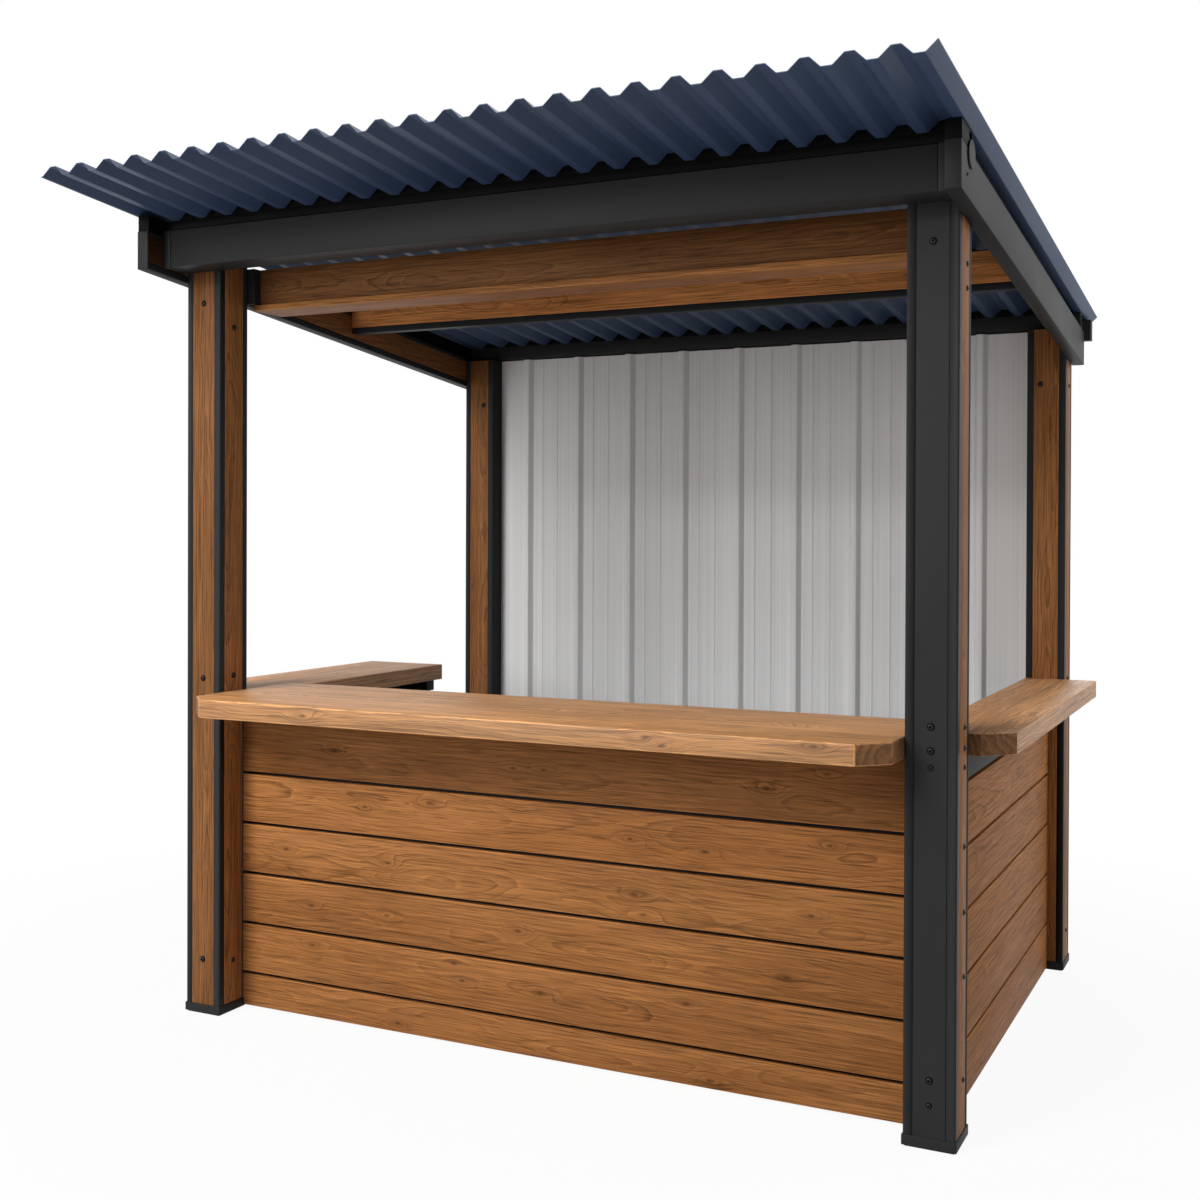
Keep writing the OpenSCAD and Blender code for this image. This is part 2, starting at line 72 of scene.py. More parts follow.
# Floor: half its side, its colour, and its share of plain white near the object and far from it
FLOOR_REACH = 40.0
FLOOR_COLOUR = (0.8, 0.8, 0.8, 1.0)
FLOOR_ROUGH = 0.9
FLOOR_NEAR, FLOOR_FAR = 1.6, 3.4
FLOOR_SHARES = (0.93, 1.0)

# Faces of the posts
HALF_WIDTH = 1.2
POST = 0.13
INNER_X = HALF_WIDTH - POST
FRONT_FACE = -0.685
BACK_POST_FRONT = 0.985
BACK_POST_MIDDLE = 1.05
POST_MIDDLE_X = HALF_WIDTH - POST / 2

STEEL_NODES = [
    "front_left_post", "front_right_post", "back_left_post", "back_right_post",
    "front_beam", "front_beam_left_cap", "front_beam_right_cap", "left_rafter", "right_rafter",
    "mid_beam", "front_purlin", "rear_purlin", "rear_beam", "left_header_bracket",
    "right_header_bracket", "front_panel_tray", "right_panel_tray", "right_panel_rail",
    "left_panel_tray", "left_panel_rail", "left_panel_leg", "left_counter_bearer",
    "back_wall_top_rail", "back_wall_bottom_rail",
]
# Coatings of the members that aren't anthracite: the front purlin is black as painted shade, and the
# trays nearly black as painted shade in the gaps between the boards
STEEL_KINDS = {"front_purlin": "black", "front_panel_tray": "tray", "right_panel_tray": "tray",
               "left_panel_tray": "tray"}
FOOT_NODES = ["front_left_foot", "front_right_foot", "back_left_foot", "back_right_foot"]
WOOD_NODES = [
    "front_left_post_strips", "front_right_post_strips", "back_left_post_strips",
    "back_right_post_strips", "left_rafter_lining", "right_rafter_lining", "mid_beam_lining",
    "header_board", "header_shelf", "front_panel_boards", "right_panel_boards",
    "left_panel_boards",
]
# Woods of the pieces that aren't strip wood
WOOD_KINDS = {"right_panel_boards": "wood", "left_panel_boards": "wood", "header_shelf": "wood",
              "left_rafter_lining": "lining", "right_rafter_lining": "lining"}
COUNTER_NODES = ["front_counter", "right_counter", "left_counter"]

# Widths of the rounded edges
POST_ROUND = 0.004
FOOT_ROUND = 0.004
BEAM_ROUND = 0.003
STEEL_ROUND = 0.0015
BOARD_ROUND = 0.0028
STRIP_ROUND = 0.0012
COUNTER_ROUNDS = {"front_counter": 0.0045, "right_counter": 0.0015, "left_counter": 0.0015}
PLATE_ROUND = 0.001
# Bends of the folded sheets: width, segments, and the least and the most turn in degrees
ROOF_BENDS = (0.005, 3, 20.0, 60.0)
WALL_BENDS = (0.0016, 2, 15.0, 75.0)

# Coatings: material, colour, roughness and the settings that differ from the usual ones
COATINGS = {
    "steel": ("anthracite_coating", (0.0225, 0.0227, 0.0234), 0.5, {"gloss": 0.08}),
    # The tray and black coats are darker than the steel as painted shade
    "tray": ("tray_coating", (0.009, 0.0091, 0.0095), 0.5, {"gloss": 0.1}),
    "black": ("black_coating", (0.002, 0.002, 0.0022), 0.55, {"gloss": 0.05}),
    "bolt": ("dark_fixings", (0.008, 0.008, 0.0083), 0.36, {"grit": 0.05, "gloss": 0.28}),
    "roof": ("navy_coating", (0.033, 0.0575, 0.112), 0.44,
             {"tone": 0.08, "gloss": 0.24, "run": (5.0, 0.8, 5.0)}),
    "wall": ("grey_coating", (0.79, 0.785, 0.78), 0.42,
             {"grit": 0.05, "tone": 0.09, "gloss": 0.3, "run": (110.0, 2.0, 0.4)}),
}

# Dark, middle and light stains of the wood, and dark and light ones of its ends
BROWN = ((0.095, 0.037, 0.0105), (0.232, 0.091, 0.0262), (0.302, 0.127, 0.0395))
DEEP = ((0.074, 0.028, 0.0085), (0.184, 0.073, 0.0225), (0.248, 0.104, 0.034))
TAN = ((0.148, 0.06, 0.0195), (0.29, 0.134, 0.0476), (0.364, 0.18, 0.0696))
BROWN_ENDS = ((0.06, 0.024, 0.009), (0.15, 0.062, 0.022))
TAN_ENDS = ((0.095, 0.04, 0.016), (0.25, 0.118, 0.05))
# Tones of some boards, from the top down, or from the front to the back and the left to the right.
# They are painted light and shade: the front panel's top board, the header board and the front left
# post's front strip are darkened as painted shade; the panel's second board, the front left post's
# inner strip, the back right post's front strip and the mid beam's lining are lightened as painted
# light
PAINTED_LIGHT_TONES = {
    "front_panel_boards": [0.78, 1.18, 1.0, 1.0, 1.0, 1.0],
    "front_left_post_strips": [0.82, 1.0, 1.4, 1.0],
    "back_right_post_strips": [1.35, 1.0, 1.0, 1.0],
    "header_board": [0.72],
    "mid_beam_lining": [2.8],
}
# Depth ahead of which the rafters' linings are painted dark as painted shade, the fade behind it,
# and the shade
NOSE_SHADE_DEPTH = -0.71
NOSE_FADE = 0.03
NOSE_SHADE = 0.2
# Width of a counter's planks, and how far a plank's edge lies from the counter's middle
PLANK = 0.177
PLANK_SHIFTS = {"front_counter": 0.0, "right_counter": 0.0885, "left_counter": 0.131}
# How much the counters' tops are painted pale, as wear and as painted light on the top, where 1 is
# as pale as an arris
TOP_WEAR_AND_LIGHT = 1.0

# Knots that show on the front panel, as places along and up the boards
PANEL_KNOT_Y = -0.573
PANEL_STRETCH = (26.0, 28.0, 62.0)
PANEL_PERIOD = 0.0085
PANEL_AXES = (0, 2, 1)
PANEL_KNOTS = [
    (-0.718, 0.834), (-0.092, 0.827), (0.007, 0.829), (-0.373, 0.703), (-0.605, 0.672),
    (-0.901, 0.516), (-0.521, 0.511), (0.295, 0.507), (-0.804, 0.351), (-0.525, 0.352),
    (-0.074, 0.361), (-0.798, 0.229), (-0.289, 0.240), (-0.261, 0.193), (-0.003, 0.192),
    (-0.484, 0.035), (0.676, 0.830), (0.840, 0.880), (0.501, 0.645), (0.849, 0.695),
    (0.278, 0.659), (0.320, 0.454), (0.799, 0.507), (0.731, 0.336), (0.448, 0.227),
    (0.521, 0.030),
]
# Knots of the front counter
COUNTER_STRETCH = (22.0, 44.0, 60.0)
COUNTER_KNOTS = [
    (-0.615, -0.865, 0.979), (0.454, -0.865, 0.988), (0.500, -0.865, 0.968),
    (0.896, -0.865, 0.993), (0.288, -0.505, 1.006), (-0.359, -0.485, 1.006),
]


# Nodes of the materials

def put(tree, kind, links=None, **settings):
    """Adds a node, and sets or links its inputs."""
    node = tree.nodes.new(kind)
    for key, value in settings.items():
        setattr(node, key, value)
    for key, value in (links or {}).items():
        if isinstance(value, bpy.types.NodeSocket):
            tree.links.new(value, node.inputs[key])
        else:
            node.inputs[key].default_value = value
    return node


def maths(tree, operation, first, second=0.0):
    """One sum on two numbers."""
    return put(tree, "ShaderNodeMath", {0: first, 1: second}, operation=operation).outputs[0]


def product(tree, factors):
    """Several numbers multiplied."""
    total = factors[0]
    for factor in factors[1:]:
        total = maths(tree, "MULTIPLY", total, factor)
    return total


def vectors(tree, operation, first, second):
    """One sum on two vectors."""
    return put(tree, "ShaderNodeVectorMath", {0: first, 1: second}, operation=operation).outputs[0]


def length(tree, vector):
    """Length of a vector."""
    return put(tree, "ShaderNodeVectorMath", {0: vector}, operation="LENGTH").outputs["Value"]


def scaled_by(tree, vector, size):
    """A vector made longer or shorter."""
    links = {0: vector, "Scale": size}
    return put(tree, "ShaderNodeVectorMath", links, operation="SCALE").outputs[0]


def split(tree, vector):
    """The three parts of a vector."""
    return put(tree, "ShaderNodeSeparateXYZ", {0: vector}).outputs


def joined(tree, parts):
    """A vector from some of its parts, by their index."""
    return put(tree, "ShaderNodeCombineXYZ", parts).outputs[0]


def span(tree, value, low, high, to_low=0.0, to_high=1.0, smooth=True):
    """Carries a value from one range to another."""
    kind = "SMOOTHSTEP" if smooth else "LINEAR"
    links = {0: value, 1: low, 2: high, 3: to_low, 4: to_high}
    return put(tree, "ShaderNodeMapRange", links, interpolation_type=kind).outputs[0]


def noise(tree, vector, scale, detail=2.0, rough=0.5):
    """Noise between 0 and 1."""
    links = {"Vector": vector, "Scale": scale, "Detail": detail, "Roughness": rough}
    return put(tree, "ShaderNodeTexNoise", links).outputs[0]


def stretched_noise(tree, vector, kind):
    """Noise whose kind is its stretch along three axes, its detail and its roughness."""
    stretch, detail, rough = kind
    return noise(tree, vectors(tree, "MULTIPLY", vector, stretch), 1.0, detail, rough)


def attribute(tree, name, output="Vector"):
    """A value that the mesh carries."""
    return put(tree, "ShaderNodeAttribute", attribute_name=name).outputs[output]


def object_spot(tree):
    """The place on the object."""
    return put(tree, "ShaderNodeTexCoord").outputs["Object"]


def blend(tree, factor, first, second, kind="MIX"):
    """Mixes two colours."""
    links = {0: factor, 6: first, 7: second}
    return put(tree, "ShaderNodeMix", links, data_type="RGBA", blend_type=kind).outputs[2]


def shaded(tree, base, shade):
    """A colour made darker or lighter."""
    grey = put(tree, "ShaderNodeCombineColor", {0: shade, 1: shade, 2: shade}).outputs[0]
    return blend(tree, 1.0, base, grey, "MULTIPLY")


def colour(red, green, blue):
    """A colour with full cover."""
    return (red, green, blue, 1.0)


def bumped(tree, height, strength, distance):
    """A normal from a height."""
    links = {"Height": height, "Strength": strength, "Distance": distance}
    return put(tree, "ShaderNodeBump", links).outputs[0]


def new_material(name):
    """An empty material with its shader."""
    material = bpy.data.materials.new(name)
    material.use_nodes = True
    tree = material.node_tree
    return material, tree, tree.nodes["Principled BSDF"]


# Knots: how far one reaches in stretched space, its dark heart, and how high its rings climb
KNOT_REACH = 2.2
KNOT_HEART = (0.08, 0.4)
KNOT_RISE = 0.016
# Scattered knots: their cells along and across the boards, their reach and their hearts
STRAY_ALONG, STRAY_ACROSS = 1.7, 4.6
STRAY_REACH = 0.17
STRAY_HEART = (0.008, 0.03)


def named_knots(tree, places, stretch):
    """Distance to the nearest of some places in stretched object space, and the way round them."""
    scaled = vectors(tree, "MULTIPLY", object_spot(tree), stretch)
    nearest, around = None, None
    for place in places:
        point = [a * b for a, b in zip(place, stretch)]
        offset = vectors(tree, "SUBTRACT", scaled, point)
        away = length(tree, offset)
        shove = scaled_by(tree, offset, span(tree, away, 0.0, KNOT_REACH, 1.0, 0.0))
        nearest = away if nearest is None else maths(tree, "MINIMUM", nearest, away)
        around = shove if around is None else vectors(tree, "ADD", around, shove)
    return nearest, vectors(tree, "DIVIDE", around, stretch)


def stray_knots(tree, grain, density):
    """Nearness of knots scattered over the boards, their hearts, and the way round them."""
    scaled = vectors(tree, "MULTIPLY", grain, (STRAY_ALONG, STRAY_ACROSS, 0.0))
    node = put(tree, "ShaderNodeTexVoronoi", {"Vector": scaled, "Scale": 1.0},
               voronoi_dimensions="2D")
    away = node.outputs["Distance"]
    pick = put(tree, "ShaderNodeSeparateColor", {0: node.outputs["Color"]}).outputs[0]
    kept = maths(tree, "LESS_THAN", pick, density)
    near = maths(tree, "MULTIPLY", span(tree, away, 0.0, STRAY_REACH, 1.0, 0.0), kept)
    core = maths(tree, "MULTIPLY", span(tree, away, *STRAY_HEART, 1.0, 0.0), kept)
    offset = vectors(tree, "SUBTRACT", scaled, node.outputs["Position"])
    around = vectors(tree, "DIVIDE", scaled_by(tree, offset, near),
                     (STRAY_ALONG, STRAY_ACROSS, 1.0))
    return near, core, around


def knot_marks(tree, grain, knots, stretch, stray, axes):
    """How near a knot is, the dark hearts of the knots, and the way of the grain round them."""
    near, core, around = 0.0, 0.0, (0.0, 0.0, 0.0)
    if stray:
        near, core, around = stray_knots(tree, grain, stray)
    if knots:
        named, shove = named_knots(tree, knots, stretch)
        near = maths(tree, "MAXIMUM", near, span(tree, named, 0.0, KNOT_REACH, 1.0, 0.0))
        core = maths(tree, "MAXIMUM", core, span(tree, named, *KNOT_HEART, 1.0, 0.0))
        parts = split(tree, shove)
        turned = joined(tree, {index: parts[axis] for index, axis in enumerate(axes)})
        around = vectors(tree, "ADD", around, turned)
    return near, core, around


# Wandering of the tree's heart: its rate along a board, and its reach across and through it
WANDER_RATE = 1.5
WANDER_ACROSS = 0.05
WANDER_THROUGH = 0.055
OTHER_LANE = (7.3, 21.0, 4.0)
# How far the seeds of neighbouring planks lie apart
PLANK_SEED = 3.7
# Noises along, across and through a board: stretch, detail and roughness
FLOW = ((2.4, 11.0, 11.0), 2.0, 0.5)
WAVER = ((11.0, 60.0, 60.0), 3.0, 0.6)
PATCH = ((2.0, 9.0, 9.0), 3.0, 0.55)
FIBRE = ((3.0, 210.0, 210.0), 4.0, 0.65)
PORE = ((7.0, 330.0, 330.0), 2.0, 0.55)
GLINT = ((4.0, 300.0, 300.0), 2.0, 0.6)
BROAD = ((1.1, 4.5, 4.5), 3.0, 0.5)
BAND = ((1.3, 27.0, 27.0), 4.0, 0.65)
# How far two of them bend the rings
FLOW_BEND = 0.024
WAVER_BEND = 0.005
# Parts of a growth ring: where its late wood darkens and ends, and where its early wood's pale line,
# partly a painted highlight on the ring's edge, fades
LATE_START = (0.56, 0.9)
LATE_END = (0.93, 1.0)
EARLY_AND_HIGHLIGHT_FADE = (0.02, 0.22)
# Weights of the rings, each by its own draw and by patches
RING_WEIGHTS = (0.35, 1.0)
PATCH_RANGE = (0.3, 0.64)
PATCH_WEIGHTS = (0.2, 1.0)
# Ranges of the noises that are used, and the shades they give
BROAD_RANGE = (0.3, 0.7)
BAND_RANGE = (0.32, 0.68)
FIBRE_RANGE, FIBRE_SHADES = (0.28, 0.72), (0.64, 1.36)
PORE_RANGE, PORE_SHADES = (0.51, 0.65), (1.06, 0.62)
GLINT_RANGE, GLINT_SHADES = (0.53, 0.68), (1.0, 1.24)
EARLY_AND_HIGHLIGHT_SHADES = (1.0, 1.28)
# Arrises and counters' tops are painted paler, as wear and as painted light
WEAR_AND_LIGHT_SHADES = (1.0, 1.6)
# How strongly late wood, knots and their hearts take the dark stain, and how dark a heart is
LATE_STAIN = 0.66
KNOT_STAIN = 0.22
HEART_STAIN = 0.62
HEART_SHADE = 0.42
# Roughness of the fibres beside the wood's own, their range, and their height
FIBRE_ROUGH, FIBRE_SMOOTH = 0.1, 0.06
ROUGH_RANGE = (0.3, 0.7)
PORE_DEPTH = 0.5
WOOD_BUMP = (0.32, 0.001)


def wandering(tree, along, seed):
    """How far the tree's heart strays across a board and through it, along its length."""
    lane = joined(tree, {0: maths(tree, "MULTIPLY", along, WANDER_RATE), 1: seed})
    other = vectors(tree, "ADD", lane, OTHER_LANE)
    sway = span(tree, noise(tree, lane, 1.0, 1.0), 0.0, 1.0, -WANDER_ACROSS, WANDER_ACROSS, False)
    climb = span(tree, noise(tree, other, 1.0), 0.0, 1.0, -WANDER_THROUGH, WANDER_THROUGH, False)
    return sway, climb


def ring_field(tree, grain, near, around, planks):
    """Distance from the tree's heart, which wanders along each board, and the board's seed."""
    along, across, through = split(tree, attribute(tree, "board"))
    aside, depth, seed = split(tree, attribute(tree, "heart"))
    if planks:
        count = maths(tree, "FLOOR", maths(tree, "ADD", maths(tree, "DIVIDE", across, planks), 0.5))
        across = maths(tree, "SUBTRACT", across, maths(tree, "MULTIPLY", count, planks))
        seed = maths(tree, "ADD", seed, maths(tree, "MULTIPLY", count, PLANK_SEED))
    _, aside_push, deep_push = split(tree, around)
    across = maths(tree, "SUBTRACT", across, aside_push)
    through = maths(tree, "SUBTRACT", through, deep_push)
    sway, climb = wandering(tree, along, seed)
    flat = maths(tree, "ADD", maths(tree, "SUBTRACT", across, aside), sway)
    deep = maths(tree, "ADD", maths(tree, "ADD", through, depth), climb)
    radius = length(tree, joined(tree, {0: flat, 1: deep}))
    for kind, bend in ((FLOW, FLOW_BEND), (WAVER, WAVER_BEND)):
        push = maths(tree, "MULTIPLY", stretched_noise(tree, grain, kind), bend)
        radius = maths(tree, "ADD", radius, push)
    return maths(tree, "ADD", radius, maths(tree, "MULTIPLY", near, KNOT_RISE)), seed


def ring_marks(tree, grain, field, seed):
    """The late wood of the growth rings, and the early wood's pale line that is partly a painted
    highlight, stronger in some rings and patches.
    """
    phase = maths(tree, "FRACT", field)
    ring = maths(tree, "ADD", maths(tree, "FLOOR", field), seed)
    pick = put(tree, "ShaderNodeTexWhiteNoise", {"W": ring}, noise_dimensions="1D").outputs["Value"]
    late = maths(tree, "MULTIPLY", span(tree, phase, *LATE_START),
                 span(tree, phase, *LATE_END, 1.0, 0.0))
    early_and_highlight = span(tree, phase, *EARLY_AND_HIGHLIGHT_FADE, 1.0, 0.0)
    patch = stretched_noise(tree, grain, PATCH)
    weight = maths(tree, "MULTIPLY", span(tree, pick, 0.0, 1.0, *RING_WEIGHTS, False),
                   span(tree, patch, *PATCH_RANGE, *PATCH_WEIGHTS))
    return maths(tree, "MULTIPLY", late, weight), maths(tree, "MULTIPLY", early_and_highlight, weight)


def wood_shade(tree, grain, fibre, pore, early_and_highlight, bands):
    """Shade of the wood by its fibres, bands, rings, tone, pores, glints and wear, with painted
    light and shade in some boards' tones and painted light on arrises and tops.
    """
    band = stretched_noise(tree, grain, BAND)
    glint = span(tree, stretched_noise(tree, grain, GLINT), *GLINT_RANGE)
    return product(tree, [
        span(tree, fibre, *FIBRE_RANGE, *FIBRE_SHADES, False),
        span(tree, band, *BAND_RANGE, 1.0 - bands, 1.0 + bands, False),
        span(tree, early_and_highlight, 0.0, 1.0, *EARLY_AND_HIGHLIGHT_SHADES, False),
        attribute(tree, "tone", "Fac"),
        span(tree, pore, 0.0, 1.0, *PORE_SHADES),
        span(tree, glint, 0.0, 1.0, *GLINT_SHADES),
        span(tree, attribute(tree, "wear_and_light", "Fac"), 0.0, 1.0, *WEAR_AND_LIGHT_SHADES),
    ])


def wood(name, stains, knots=(), stretch=(1, 1, 1), stray=0.2, period=0.007, rough=0.55,
         sheen=0.1, planks=0.0, dim=None, axes=(0, 1, 2), bands=0.06):
    """Oiled wood: growth rings that bend round knots, fibres and pores along the grain.

    The wood is painted dark ahead of the depth named by dim, as painted shade. The axes are the
    object's, in the order along the grain, across it and through it.
    """
    material, tree, shader = new_material(name)
    dark, middle, light = stains
    grain = attribute(tree, "grain")
    near, core, around = knot_marks(tree, grain, knots, stretch, stray, axes)
    grain = vectors(tree, "SUBTRACT", grain, around)
    radius, seed = ring_field(tree, grain, near, around, planks)
    late, early_and_highlight = ring_marks(tree, grain, maths(tree, "DIVIDE", radius, period), seed)
    fibre = stretched_noise(tree, grain, FIBRE)
    pore = span(tree, stretched_noise(tree, grain, PORE), *PORE_RANGE)

    broad = span(tree, stretched_noise(tree, grain, BROAD), *BROAD_RANGE)
    base = blend(tree, broad, colour(*middle), colour(*light))
    base = blend(tree, maths(tree, "MULTIPLY", late, LATE_STAIN), base, colour(*dark))
    base = blend(tree, maths(tree, "MULTIPLY", near, KNOT_STAIN), base, colour(*dark))
    base = shaded(tree, base, wood_shade(tree, grain, fibre, pore, early_and_highlight, bands))
    heart = [part * HEART_SHADE for part in dark]
    base = blend(tree, maths(tree, "MULTIPLY", core, HEART_STAIN), base, colour(*heart))
    # Painted shade: darker ahead of the depth named by dim
    if dim:
        depth = split(tree, object_spot(tree))[1]
        base = shaded(tree, base, span(tree, depth, dim, dim + NOSE_FADE, NOSE_SHADE, 1.0))
    tree.links.new(base, shader.inputs["Base Color"])

    roughness = span(tree, fibre, *ROUGH_RANGE, rough + FIBRE_ROUGH, rough - FIBRE_SMOOTH, False)
    tree.links.new(roughness, shader.inputs["Roughness"])
    shader.inputs["Specular IOR Level"].default_value = sheen
    height = maths(tree, "SUBTRACT", fibre, maths(tree, "MULTIPLY", pore, PORE_DEPTH))
    tree.links.new(bumped(tree, height, *WOOD_BUMP), shader.inputs["Normal"])
    return material


# Cut ends: squeeze along the grain, the rings' heart, how many rings a metre has, and their waves
END_SQUEEZE = (0.35, 1.0, 1.0)
END_HEART = (0.0, 0.0, -0.05)
END_RINGS = 170.0
END_WAVES, END_WAVE = 26.0, 2.2
END_LATE_START = (0.2, 0.85)
END_LATE_END = (0.88, 1.0)
END_LATE_STAIN = 0.6
# Their specks: scale, range, shades and noise, and then the shades of wear and painted light on the
# arrises, and the finish
END_SPECKS = 420.0
END_SPECK_RANGE, END_SPECK_SHADES = (0.3, 0.7), (0.74, 1.16)
END_DETAIL, END_NOISE_ROUGH = 3.0, 0.6
END_WEAR_AND_LIGHT_SHADES = (1.0, 1.5)
END_ROUGH = 0.7
END_SHEEN = 0.15
END_LATE_DEPTH = 0.6
END_BUMP = (0.5, 0.001)


def end_grain(name, dark, light):
    """Cut ends of wood: growth rings seen from the end, with specks."""
    material, tree, shader = new_material(name)
    grain = vectors(tree, "MULTIPLY", attribute(tree, "board"), END_SQUEEZE)
    bend = noise(tree, grain, END_WAVES, END_DETAIL, END_NOISE_ROUGH)
    away = put(tree, "ShaderNodeVectorMath", {0: grain, 1: END_HEART},
               operation="DISTANCE").outputs["Value"]
    field = maths(tree, "ADD", maths(tree, "MULTIPLY", away, END_RINGS),
                  maths(tree, "MULTIPLY", bend, END_WAVE))
    phase = maths(tree, "FRACT", field)
    late = maths(tree, "MULTIPLY", span(tree, phase, *END_LATE_START),
                 span(tree, phase, *END_LATE_END, 1.0, 0.0))
    speck = noise(tree, grain, END_SPECKS, END_DETAIL, END_NOISE_ROUGH)
    stain = maths(tree, "MULTIPLY", late, END_LATE_STAIN)
    base = blend(tree, stain, colour(*light), colour(*dark))
    shade = product(tree, [
        span(tree, speck, *END_SPECK_RANGE, *END_SPECK_SHADES, False),
        span(tree, attribute(tree, "wear_and_light", "Fac"), 0.0, 1.0, *END_WEAR_AND_LIGHT_SHADES),
    ])
    tree.links.new(shaded(tree, base, shade), shader.inputs["Base Color"])
    shader.inputs["Roughness"].default_value = END_ROUGH
    shader.inputs["Specular IOR Level"].default_value = END_SHEEN
    height = maths(tree, "SUBTRACT", speck, maths(tree, "MULTIPLY", late, END_LATE_DEPTH))
    tree.links.new(bumped(tree, height, *END_BUMP), shader.inputs["Normal"])
    return material


# Broad patches of a coat: range, noise, and how much rougher and smoother they make it
COAT_RANGE = (0.25, 0.75)
COAT_DETAIL, COAT_NOISE_ROUGH = 4.0, 0.6
COAT_ROUGH, COAT_SMOOTH = 0.08, 0.06
# Grit of a coat: scale, range, shades and height
GRIT_SCALE = 1400.0
GRIT_RANGE, GRIT_SHADES = (0.2, 0.8), (0.94, 1.06)
GRIT_HEIGHT = 0.0004


def coating(name, base, rough, gloss, grit=0.12, tone=0.12, run=(2.0, 2.0, 2.0)):
    """Baked coating on steel: a fine grit, with faint broad patches that run along the piece."""
    material, tree, shader = new_material(name)
    spot = object_spot(tree)
    broad = stretched_noise(tree, spot, (run, COAT_DETAIL, COAT_NOISE_ROUGH))
    fine = noise(tree, spot, GRIT_SCALE)
    shade = product(tree, [
        span(tree, broad, *COAT_RANGE, 1.0 - tone, 1.0 + tone, False),
        span(tree, fine, *GRIT_RANGE, *GRIT_SHADES, False),
    ])
    tree.links.new(shaded(tree, colour(*base), shade), shader.inputs["Base Color"])
    roughness = span(tree, broad, *COAT_RANGE, rough - COAT_SMOOTH, rough + COAT_ROUGH, False)
    tree.links.new(roughness, shader.inputs["Roughness"])
    shader.inputs["Specular IOR Level"].default_value = gloss
    tree.links.new(bumped(tree, fine, grit, GRIT_HEIGHT), shader.inputs["Normal"])
    return material


# Meshes

WELD = 1e-5
FLAT_TURN = math.radians(0.4)
# Parts of a face's normal: along the grain on an end, at most on a turned face, up on a top
END_FACE = 0.6
TURNED_FACE = 0.985
TOP_FACE = 0.9
# Side under which a turned face is an arris, and the most that counts of a board's width
ARRIS = 0.006
WIDEST = 0.18
# Draws for each board: shifts of its grain, its heart aside and deep in widths, seed and tone
GRAIN_SHIFTS = (0, 40)
HEART_ASIDE = (-0.3, 0.3)
HEART_DEEP = (0.25, 0.7)
HEART_SEEDS = (0, 90)
BOARD_TONES = (0.9, 1.1)


def islands(work):
    """The separate pieces of a mesh, as lists of points."""
    left = set(work.verts)
    found = []
    while left:
        start = min(left, key=lambda v: v.index)
        group, queue = {start}, [start]
        while queue:
            for edge in queue.pop().link_edges:
                for other in edge.verts:
                    if other not in group:
                        group.add(other)
                        queue.append(other)
        left -= group
        found.append(sorted(group, key=lambda v: v.index))
    return found


def node_mesh(node):
    """A CAD node's mesh with whole faces instead of triangles."""
    work = bmesh.new()
    work.from_mesh(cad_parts[node].data)
    bmesh.ops.remove_doubles(work, verts=work.verts, dist=WELD)
    bmesh.ops.dissolve_limit(work, angle_limit=FLAT_TURN, verts=work.verts, edges=work.edges)
    work.verts.index_update()
    return work


def rounded(work, width, segments=2, least=20.0, most=120.0, wanted=None):
    """Rounds the edges whose faces meet at an angle between two limits, in degrees."""
    chosen = []
    for edge in work.edges:
        if len(edge.link_faces) != 2:
            continue
        turn = math.degrees(edge.calc_face_angle(0.0))
        if least < turn < most and (wanted is None or wanted(edge)):
            chosen.append(edge)
    bmesh.ops.bevel(work, geom=chosen, offset=width, offset_type="OFFSET", segments=segments,
                    profile=0.5, affect="EDGES", clamp_overlap=True)
    work.verts.index_update()
    work.faces.index_update()


def in_order(boards, stacked):
    """Boards from the top down when stacked, or else from the front and from the left."""
    def place(board):
        middle = sum((v.co for v in board), Vector()) / len(board)
        if stacked:
            return (-middle.z, 0.0)
        return (round(middle.y, 2), middle.x)
    return sorted(boards, key=place)


def board_frame(board):
    """A board's middle, its axes from the longest to the shortest, and its width."""
    low = Vector([min(v.co[i] for v in board) for i in range(3)])
    high = Vector([max(v.co[i] for v in board) for i in range(3)])
    size = high - low
    order = sorted(range(3), key=lambda i: -size[i])
    return (low + high) / 2, order, min(size[order[1]], WIDEST)


def mark_faces(board, along, kind, ends, wear_and_light, top_wear_and_light):
    """Gives a board's long faces and ends their materials, and marks its arrises and tops, which are
    painted paler as wear and as painted light.
    """
    for face in {face for v in board for face in v.link_faces}:
        face.material_index = ends if abs(face.normal[along]) > END_FACE else kind
        turned = max(abs(part) for part in face.normal) < TURNED_FACE
        arris = turned and min(e.calc_length() for e in face.edges) < ARRIS
        face[wear_and_light] = 1.0 if arris else top_wear_and_light * (face.normal.z > TOP_FACE)


